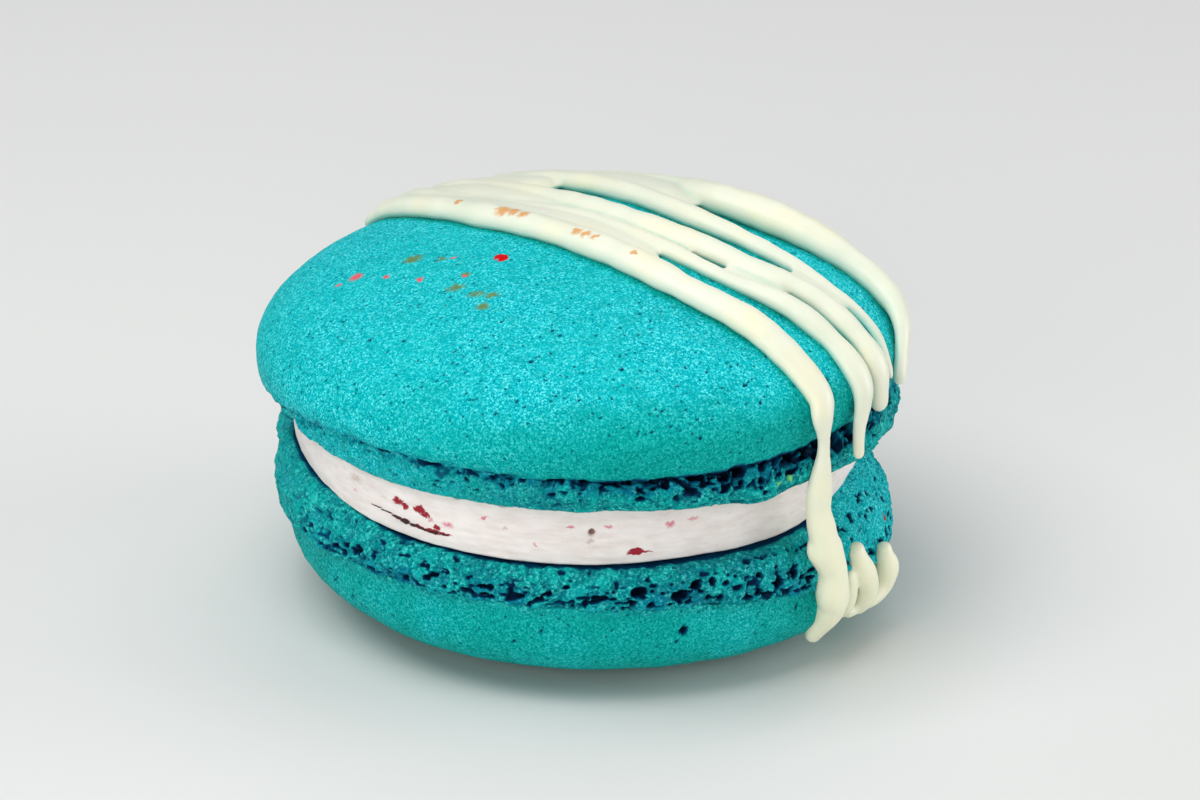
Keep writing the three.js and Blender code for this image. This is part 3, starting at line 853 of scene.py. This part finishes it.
def make_icing(material):
    vertices, faces = [], []
    for knots in (*STRANDS, *DRIPS):
        path = string_path(knots)
        uneven = 1 + 0.08 * noise(path[:, :3], 2.3) + 0.08 * noise(path[:, :3] + 5, 1.1)
        add_tube(vertices, faces, tube(path[:, :3], path[:, 3] * uneven + SOFTENED))
    for first, *stretch in WEBS:
        path = web_path(string_path(STRANDS[first]), string_path(STRANDS[first + 1]), *stretch)
        add_tube(vertices, faces, tube(path[:, :3], path[:, 3], WEB_FLATNESS))
    mesh = bpy.data.meshes.new("icing")
    mesh.from_pydata((np.concatenate(vertices) * MM).tolist(), [], faces)
    piece = add_piece("icing", mesh)
    remesh = piece.modifiers.new("remesh", "REMESH")
    remesh.mode = "VOXEL"
    remesh.voxel_size = ICING_VOXEL * MM
    soften = piece.modifiers.new("soften", "SMOOTH")
    soften.factor = 0.5
    soften.iterations = ICING_SMOOTHINGS
    apply_modifiers(piece)
    mesh = piece.data
    points = np.empty(len(mesh.vertices) * 3)
    mesh.vertices.foreach_get("co", points)
    points = points.reshape(-1, 3) / MM
    colours = np.zeros((len(points), 4))
    colours[:, 0] = 1 - smoothstep(above_skin(points), 0.05, 0.6)
    colours[:, 1] = smoothstep(hollowness(mesh, points), 0.0, 0.16)
    finish_mesh(mesh, colours, material)
    return piece


def hollowness(mesh, points):
    """How far each point lies in a crease, in millimetres: how far smoothing would lift it."""
    ends = np.empty(len(mesh.edges) * 2, np.int32)
    mesh.edges.foreach_get("vertices", ends)
    others = ends.reshape(-1, 2)[:, ::-1].ravel()
    count = np.bincount(ends, minlength=len(points))[:, None]
    smoothed = points
    for _ in range(CREASE_SMOOTHINGS):
        total = [np.bincount(ends, smoothed[others, axis], len(points)) for axis in range(3)]
        smoothed = np.stack(total, -1) / count
    normals = np.empty(len(points) * 3)
    mesh.vertices.foreach_get("normal", normals)
    return ((smoothed - points) * normals.reshape(-1, 3)).sum(1)


def above_skin(points):
    """About how far each point stands out of the upper skin, in millimetres."""
    n = DOME["roundness"]
    share = np.hypot(points[:, 0] - DOME["offset"], points[:, 1]) / DOME["radius"]
    rise = np.maximum(0, points[:, 2] - dome_level(points[:, 0])) / DOME["height"]
    value = (share**n + rise**n) ** (1 / n)
    slope = np.hypot(share ** (n - 1) / DOME["radius"], rise ** (n - 1) / DOME["height"]) * value ** (1 - n)
    below = dome_level(points[:, 0]) - 1.5 - points[:, 2]
    return (value - 1) / slope + 2 * smoothstep(below, 0, 1.5)


def apply_modifiers(piece):
    graph = bpy.context.evaluated_depsgraph_get()
    made = bpy.data.meshes.new_from_object(piece.evaluated_get(graph))
    piece.modifiers.clear()
    piece.data = made


# ---- Materials -----------------------------------------------------------------------------


def linear(red, green, blue):
    """A colour as screens state it, from 0 to 255, as Blender's nodes take it."""
    share = np.array([red, green, blue]) / 255
    value = np.where(share <= 0.04045, share / 12.92, ((share + 0.055) / 1.055) ** 2.4)
    return (*value.tolist(), 1)


class Paint:
    """A material and short ways to add nodes to it."""

    def __init__(self, name, roughness, specular):
        self.material = bpy.data.materials.new(name)
        self.material.use_nodes = True
        self.tree = self.material.node_tree
        self.shader = self.tree.nodes["Principled BSDF"]
        self.shader.inputs["Roughness"].default_value = roughness
        self.shader.inputs["Specular IOR Level"].default_value = specular
        self.place = self.tree.nodes.new("ShaderNodeTexCoord").outputs["Object"]

    def link(self, source, socket):
        self.tree.links.new(source, socket)

    def feed(self, node, inputs):
        """Joins each input of a node to another node's output, or sets it to a value."""
        for index, source in inputs.items():
            if hasattr(source, "is_linked"):
                self.link(source, node.inputs[index])
            else:
                node.inputs[index].default_value = source

    def noise(self, lump, detail=2.0, rough=0.5, stretch=None):
        """Noise from 0 to 1 with lumps of this size in millimetres."""
        node = self.tree.nodes.new("ShaderNodeTexNoise")
        node.inputs["Scale"].default_value = 1 / (lump * MM)
        node.inputs["Detail"].default_value = detail
        node.inputs["Roughness"].default_value = rough
        source = self.place
        if stretch:
            mapping = self.tree.nodes.new("ShaderNodeMapping")
            mapping.inputs["Scale"].default_value = stretch
            self.link(source, mapping.inputs["Vector"])
            source = mapping.outputs["Vector"]
        self.link(source, node.inputs["Vector"])
        return node.outputs["Fac"]

    def cells(self, size):
        """Small cells of this size in millimetres: a random number each, and the way to the middle."""
        node = self.tree.nodes.new("ShaderNodeTexVoronoi")
        node.inputs["Scale"].default_value = 1 / (size * MM)
        self.link(self.place, node.inputs["Vector"])
        return node.outputs["Color"], node.outputs["Distance"]

    def grain(self, lump, cell):
        """Noise with a crisp grain in it, from about 0.4 to 0.8."""
        share, _ = self.cells(cell)
        return self.math("ADD", self.noise(lump, 5, 0.8), self.math("MULTIPLY", share, 0.24))

    def ramp(self, value, stops):
        """A colour ramp of (position, colour) stops."""
        node = self.tree.nodes.new("ShaderNodeValToRGB")
        elements = node.color_ramp.elements
        while len(elements) < len(stops):
            elements.new(0.5)
        for element, (at, colour) in zip(elements, stops):
            element.position = at
            element.color = colour
        self.link(value, node.inputs["Fac"])
        return node.outputs["Color"]

    def mix(self, share, first, second):
        """The first colour, with this share of the second."""
        node = self.tree.nodes.new("ShaderNodeMix")
        node.data_type = "RGBA"
        self.feed(node, {0: share, 6: first, 7: second})
        return node.outputs[2]

    def span(self, value, low, high, to_low=0.0, to_high=1.0):
        node = self.tree.nodes.new("ShaderNodeMapRange")
        node.interpolation_type = "SMOOTHSTEP"
        for name, number in (("From Min", low), ("From Max", high), ("To Min", to_low), ("To Max", to_high)):
            node.inputs[name].default_value = number
        self.link(value, node.inputs["Value"])
        return node.outputs["Result"]

    def math(self, operation, first, second):
        node = self.tree.nodes.new("ShaderNodeMath")
        node.operation = operation
        self.feed(node, {0: first, 1: second})
        return node.outputs[0]

    def painted(self):
        """The four numbers kept at each point of the mesh."""
        attribute = self.tree.nodes.new("ShaderNodeAttribute")
        attribute.attribute_name = "paint"
        split = self.tree.nodes.new("ShaderNodeSeparateColor")
        self.link(attribute.outputs["Color"], split.inputs[0])
        return split.outputs[0], split.outputs[1], split.outputs[2], attribute.outputs["Alpha"]

    def shaken(self, lump, reach):
        """The place, moved about by noise so that spots get ragged edges."""
        node = self.tree.nodes.new("ShaderNodeTexNoise")
        node.inputs["Scale"].default_value = 1 / (lump * MM)
        node.inputs["Detail"].default_value = 2
        self.link(self.place, node.inputs["Vector"])
        centred = self.tree.nodes.new("ShaderNodeVectorMath")
        centred.operation = "SUBTRACT"
        centred.inputs[1].default_value = (0.5, 0.5, 0.5)
        self.link(node.outputs["Color"], centred.inputs[0])
        scaled = self.tree.nodes.new("ShaderNodeVectorMath")
        scaled.operation = "SCALE"
        scaled.inputs["Scale"].default_value = reach * MM
        self.link(centred.outputs[0], scaled.inputs[0])
        moved = self.tree.nodes.new("ShaderNodeVectorMath")
        self.link(self.place, moved.inputs[0])
        self.link(scaled.outputs[0], moved.inputs[1])
        return moved.outputs[0]

    def spots(self, source, colour, coat, spots, low=0.0, high=0.5):
        """Lays coat over colour in ovals: each is a centre and half its width, depth and height."""
        total = None
        for centre, half in spots:
            mapping = self.tree.nodes.new("ShaderNodeMapping")
            mapping.vector_type = "TEXTURE"
            mapping.inputs["Location"].default_value = [c * MM for c in centre]
            mapping.inputs["Scale"].default_value = [h * MM for h in half]
            self.link(source, mapping.inputs["Vector"])
            ball = self.tree.nodes.new("ShaderNodeTexGradient")
            ball.gradient_type = "SPHERICAL"
            self.link(mapping.outputs["Vector"], ball.inputs["Vector"])
            total = ball.outputs["Fac"] if total is None else self.math("MAXIMUM", total, ball.outputs["Fac"])
        return self.mix(self.span(total, low, high), colour, coat)

    def bump(self, height, strength, distance, below=None):
        node = self.tree.nodes.new("ShaderNodeBump")
        node.inputs["Strength"].default_value = strength
        node.inputs["Distance"].default_value = distance * MM
        self.link(height, node.inputs["Height"])
        if below is not None:
            self.link(below, node.inputs["Normal"])
        return node.outputs["Normal"]


def skin_spots(paint, colour):
    """The few crumbs and smudges on the shells."""
    ragged = paint.shaken(0.35, 0.5)
    olive = [(on_skin(x, y), size) for x, y, size in (
        (-11.8, -2.4, (1.1, 0.9, 0.9)), (-8.8, -7.8, (1.0, 0.7, 0.7)), (-8.2, -6.3, (0.6, 0.5, 0.5)),
        (-6.3, -9.4, (0.8, 0.6, 0.6)), (-6.9, -10.6, (0.8, 0.6, 0.6)), (-7.4, -9.0, (0.9, 0.5, 0.6)),
        (-9.9, -3.4, (0.7, 0.4, 0.5)),
    )]
    pink = [(on_skin(x, y), size) for x, y, size in (
        (-15.6, -2.7, (0.85, 0.7, 0.6)), (-13.5, -4.2, (0.4, 0.45, 0.4)), (-16.7, -3.0, (0.35, 0.4, 0.4)),
        (-11.2, -5.8, (0.4, 0.4, 0.4)), (-9.1, -3.5, (0.28, 0.25, 0.3)), (-8.2, -6.5, (0.28, 0.25, 0.3)),
    )]
    smudged = paint.shaken(0.25, 1.1)
    colour = paint.spots(smudged, colour, linear(104, 128, 72), olive, 0.12, 0.8)
    colour = paint.spots(ragged, colour, linear(216, 96, 104), pink, 0.1, 0.7)
    red = [(on_skin(*RED_CRUMB), (0.58, 0.5, 0.5))]
    dull_red = [((20.9, -4.2, 7.6), (0.5, 0.3, 0.5))]
    colour = paint.spots(ragged, colour, linear(160, 40, 40), dull_red, 0.0, 0.4)
    green = [((13.8, -16.4, 15.4), (0.5, 0.5, 0.4)), ((13.0, -17.0, 15.2), (0.3, 0.4, 0.3))]
    colour = paint.spots(ragged, colour, linear(120, 208, 120), green, 0.1, 0.8)
    return paint.spots(paint.place, colour, linear(206, 16, 22), red, 0.0, 0.25)


def make_shell_material():
    paint = Paint("baked_shell", 0.7, 0.05)
    deep, near_lip, foot, shade = paint.painted()
    grain = paint.grain(0.18, 0.11)
    patches = paint.noise(0.9, 3, 0.6)
    broad = paint.noise(7, 2, 0.5)
    # The skin's grain; its palest flecks are partly paler crumb and partly painted glints.
    colour = paint.ramp(grain, [
        (0.49, linear(0, 138, 148)), (0.58, linear(0, 174, 184)),
        (0.66, linear(0, 197, 205)), (0.76, linear(112, 232, 234)),
    ])
    colour = paint.mix(paint.span(patches, 0.46, 0.66, 0, 0.5), colour, linear(0, 160, 162))
    colour = paint.mix(paint.span(broad, 0.35, 0.65, 0, 0.25), colour, linear(0, 184, 182))
    edge_colour = paint.ramp(grain, [
        (0.48, linear(0, 120, 112)), (0.62, linear(0, 151, 141)), (0.76, linear(6, 180, 170)),
    ])
    # Painted shade: the skins darken towards edge_colour by the fourth number, as on the dome's front and
    # lower part, and beside the icing.
    colour = paint.mix(paint.span(shade, 0, 1, 0, 0.85), colour, edge_colour)
    crumb = paint.ramp(paint.grain(0.24, 0.17), [
        (0.48, linear(0, 84, 96)), (0.57, linear(0, 122, 124)),
        (0.66, linear(0, 154, 152)), (0.77, linear(80, 210, 202)),
    ])
    # Painted shade in the hollows of the feet's sponge, and a painted highlight on its crests.
    crumb = paint.mix(paint.span(shade, 0.5, 0, 0, 0.55), crumb, linear(0, 84, 108))
    crumb = paint.mix(paint.span(shade, 0.5, 1, 0, 0.4), crumb, linear(16, 192, 188))
    colour = paint.mix(paint.span(foot, 0, 1, 0, 0.9), colour, crumb)
    colour = paint.mix(paint.span(near_lip, 0, 1, 0, 0.5), colour, linear(0, 108, 148))
    _, from_pore = paint.cells(0.75)
    pore = paint.span(from_pore, 0.19, 0.1, 0, 0.75)
    colour = paint.mix(pore, colour, linear(0, 84, 96))
    # Holes and pores darken towards near black, partly for their darker dye and partly as painted shade; the
    # crevices under the skin's edge and under the filling darken as painted shade.
    colour = paint.mix(paint.span(deep, 0.05, 0.6), colour, linear(0, 60, 96))
    colour = paint.mix(paint.span(deep, 0.45, 1.0, 0, 0.9), colour, linear(0, 16, 36))
    colour = skin_spots(paint, colour)
    paint.link(colour, paint.shader.inputs["Base Color"])
    paint.link(paint.span(grain, 0.5, 0.76, 0.8, 0.55), paint.shader.inputs["Roughness"])
    fine = paint.bump(paint.math("SUBTRACT", grain, pore), 0.5, 0.08)
    coarse = paint.bump(paint.noise(0.7, 2, 0.5), 0.3, 0.12, fine)
    paint.link(coarse, paint.shader.inputs["Normal"])
    return paint.material


# Flecks in the cream, and its stained crack: angle, height, half width, half height.
RED_FLECKS = (
    (-126.4, 12.65, 0.6, 0.42), (-124.8, 12.45, 0.5, 0.3), (-121.4, 12.5, 0.6, 0.42),
    (-120.2, 12.2, 0.5, 0.3), (-78.9, 11.05, 0.85, 0.34), (-76.9, 11.0, 0.6, 0.14),
    (-118.8, 11.2, 0.9, 0.26), (-116.0, 11.2, 0.9, 0.16), (-121.6, 11.25, 0.7, 0.2),
    (-125.2, 11.42, 0.7, 0.16), (-117.6, 11.5, 0.4, 0.3),
)
PINK_FLECKS = (
    (-72.5, 12.78, 0.7, 0.45), (-67.8, 13.0, 0.8, 0.26), (-55.7, 13.4, 0.5, 0.4), (-115.3, 11.95, 0.7, 0.35),
    (-84.5, 12.9, 0.5, 0.2), (-137.8, 12.2, 0.4, 0.2), (-91.5, 12.9, 0.5, 0.18), (-60.5, 12.9, 0.4, 0.2),
    (-118.9, 12.0, 0.4, 0.2), (-108, 12.9, 0.3, 0.14), (-98, 11.4, 0.3, 0.14), (-64, 11.9, 0.3, 0.14),
)
BROWN_HOLE = (-87.6, 12.52, 0.4, 0.4)
BROWN_FLECKS = (
    (-137.4, 13.0, 0.9, 0.45), BROWN_HOLE, (-87.8, 11.9, 0.5, 0.24), (-130, 12.6, 0.4, 0.2),
    (-104, 12.4, 0.4, 0.16), (-56.1, 11.4, 0.2, 0.2),
)
CRACK = (
    (-131.5, 11.74, 0.7, 0.07), (-129, 11.62, 0.7, 0.1), (-126.6, 11.5, 0.6, 0.18),
    (-124.6, 11.38, 0.6, 0.26), (-122.4, 11.26, 0.6, 0.17), (-120.4, 11.2, 0.6, 0.14),
    (-118.2, 11.16, 0.6, 0.16), (-116, 11.14, 0.5, 0.1),
)


def cream_spots(flecks):
    made = []
    for angle, height, wide, tall in flecks:
        tilt = abs(np.sin(np.radians(angle + 90)))
        made.append((on_side(angle, height, CREAM_SIDE), (wide, 0.5 + wide * tilt, tall)))
    return made


def make_cream_material():
    paint = Paint("cream", 0.5, 0.4)
    deep, _, _, _ = paint.painted()
    smear = paint.noise(1.6, 3, 0.6, (1, 1, 3.5))
    colour = paint.ramp(smear, [
        (0.25, linear(222, 210, 206)), (0.5, linear(233, 224, 220)), (0.75, linear(240, 233, 230)),
    ])
    specks = paint.span(paint.noise(0.5, 4, 0.7), 0.66, 0.8, 0, 0.5)
    colour = paint.mix(specks, colour, linear(214, 176, 176))
    ragged = paint.shaken(0.3, 0.55)
    colour = paint.spots(ragged, colour, linear(206, 190, 182), cream_spots(BROWN_FLECKS), 0.1, 0.8)
    colour = paint.spots(ragged, colour, linear(214, 132, 146), cream_spots(PINK_FLECKS), 0.18, 0.7)
    colour = paint.spots(ragged, colour, linear(150, 0, 34), cream_spots(RED_FLECKS), 0.12, 0.38)
    shaky = paint.shaken(0.5, 0.25)
    colour = paint.spots(shaky, colour, linear(52, 6, 18), cream_spots(CRACK), 0.1, 0.4)
    # Painted shade in the cream's holes and notches, darkest and reddest at the brown hole.
    brown_hole = cream_spots([BROWN_HOLE])
    hole = paint.spots(paint.place, linear(70, 18, 30), linear(150, 112, 100), brown_hole, 0, 0.1)
    colour = paint.mix(paint.span(deep, 0.3, 0.9, 0, 0.9), colour, hole)
    paint.link(colour, paint.shader.inputs["Base Color"])
    paint.shader.inputs["Subsurface Weight"].default_value = 0.25
    paint.shader.inputs["Subsurface Radius"].default_value = (1.0, 0.7, 0.6)
    paint.shader.inputs["Subsurface Scale"].default_value = 0.8 * MM
    fine = paint.bump(paint.noise(0.5, 3, 0.6, (1, 1, 2.5)), 0.25, 0.06)
    paint.link(fine, paint.shader.inputs["Normal"])
    return paint.material


# Brown stains on the icing, by x, y and half the width and depth.
STAINS = (
    (-5.9, 0.5, 0.8, 0.9), (-5.2, 0.0, 0.8, 0.75), (-4.5, -0.7, 0.6, 0.6), (-9.0, 3.6, 0.5, 0.45),
    (-0.9, -4.1, 0.6, 0.5), (-0.3, -4.6, 0.6, 0.5), (0.3, -5.1, 0.5, 0.4), (3.0, -7.2, 0.4, 0.35),
)


def make_icing_material():
    paint = Paint("icing", 0.36, 0.45)
    thin, creased, _, _ = paint.painted()
    colour = paint.ramp(paint.noise(5, 2, 0.5), [
        (0.3, linear(220, 224, 204)), (0.5, linear(227, 228, 209)), (0.7, linear(232, 228, 201)),
    ])
    parts = paint.tree.nodes.new("ShaderNodeSeparateXYZ")
    paint.link(paint.place, parts.inputs[0])
    # Painted light: the lower, hanging icing is made lighter.
    low_down = paint.span(parts.outputs["Z"], 18 * MM, 8 * MM, 0, 0.7)
    colour = paint.mix(low_down, colour, linear(244, 242, 210))
    # Painted shade in the creases of the icing, tinted green.
    colour = paint.mix(paint.span(creased, 0, 1, 0, 0.4), colour, linear(164, 214, 184))
    colour = paint.mix(paint.span(thin, 0.2, 1.0, 0, 0.75), colour, linear(150, 214, 200))
    stains = [((x, y, 26), (wide, deep, 5)) for x, y, wide, deep in STAINS]
    colour = paint.spots(paint.shaken(0.35, 0.7), colour, linear(218, 160, 98), stains, 0.1, 0.6)
    paint.link(colour, paint.shader.inputs["Base Color"])
    paint.shader.inputs["Subsurface Weight"].default_value = 0.3
    paint.shader.inputs["Subsurface Radius"].default_value = (0.9, 1.0, 0.7)
    paint.shader.inputs["Subsurface Scale"].default_value = 0.9 * MM
    soft = paint.bump(paint.noise(1.1, 2, 0.5), 0.15, 0.12)
    paint.link(soft, paint.shader.inputs["Normal"])
    return paint.material


# ---- Stage ---------------------------------------------------------------------------------


def make_floor():
    bpy.ops.mesh.primitive_plane_add(size=4, location=(0, 0, -0.00005))
    floor = bpy.context.object
    floor.name = "floor"
    material = bpy.data.materials.new("floor")
    material.use_nodes = True
    shader = material.node_tree.nodes["Principled BSDF"]
    shader.inputs["Base Color"].default_value = (0.72, 0.71, 0.69, 1)
    shader.inputs["Roughness"].default_value = 0.7
    floor.data.materials.append(material)


def make_light(name, place, target, size, power, colour=(1, 1, 1)):
    light = bpy.data.lights.new(name, "AREA")
    light.size = size
    light.energy = power
    light.color = colour
    lamp = bpy.data.objects.new(name, light)
    bpy.context.collection.objects.link(lamp)
    lamp.location = place
    way = Vector(target) - Vector(place)
    lamp.rotation_euler = way.to_track_quat("-Z", "Y").to_euler()


def light_scene():
    world = bpy.data.worlds.new("studio")
    world.use_nodes = True
    world.node_tree.nodes["Background"].inputs["Color"].default_value = (0.9, 0.95, 1.0, 1)
    world.node_tree.nodes["Background"].inputs["Strength"].default_value = 0.28
    bpy.context.scene.world = world
    make_light("key", (-0.14, -0.1, 0.37), (0, 0, 0.012), 0.32, 1.22, (0.96, 0.99, 1.0))
    make_light("fill", (-0.12, -0.41, 0.09), (0, 0, 0.012), 0.3, 0.97, (1.0, 0.98, 0.95))
    make_light("side", (0.4, 0.03, 0.09), (0, 0, 0.01), 0.25, 0.88)
    make_light("back", (0.05, 0.2, 0.32), (0, 0, 0.015), 0.3, 0.3)
    bpy.context.scene.view_settings.view_transform = "Standard"


# Angles in degrees. The distance and the height that it looks at are in millimetres.
CAMERA = {
    "pitch": 22.5,
    "roll": 2.2,
    "distance": 380,
    "target": 14.3,
    "lens": 167.1,
    "shift": (0.0131, -0.0087),
}


def make_camera():
    camera = bpy.data.cameras.new("camera")
    camera.lens = CAMERA["lens"]
    camera.sensor_width = 36
    camera.shift_x, camera.shift_y = CAMERA["shift"]
    camera.clip_start = 0.01
    holder = bpy.data.objects.new("camera", camera)
    bpy.context.collection.objects.link(holder)
    pitch = np.radians(CAMERA["pitch"])
    back = Vector((0, -np.cos(pitch), np.sin(pitch)))
    place = Vector((0, 0, CAMERA["target"] * MM)) + back * CAMERA["distance"] * MM
    turn = Matrix.Rotation(np.pi / 2 - pitch, 4, "X") @ Matrix.Rotation(np.radians(CAMERA["roll"]), 4, "Z")
    holder.matrix_world = Matrix.Translation(place) @ turn
    bpy.context.scene.camera = holder


# ---- The macaron ---------------------------------------------------------------------------

make_camera()
light_scene()
make_floor()

shell_material = make_shell_material()
top_skin = make_top_skin(shell_material)
top_foot = make_top_foot(shell_material)
bottom_skin = make_bottom_skin(shell_material)
bottom_foot = make_bottom_foot(shell_material)
cream = make_filling(make_cream_material())
icing = make_icing(make_icing_material())

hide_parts("top_shell")
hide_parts("top_shell")
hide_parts("bottom_shell")
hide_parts("bottom_shell")
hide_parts("filling")
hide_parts("top_shell", "bottom_shell")
for piece, slot in (
    (top_skin, "shell"), (top_foot, "shell"), (bottom_skin, "shell"), (bottom_foot, "shell"),
    (cream, "filling"), (icing, "shell"),
):
    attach(piece, "root")
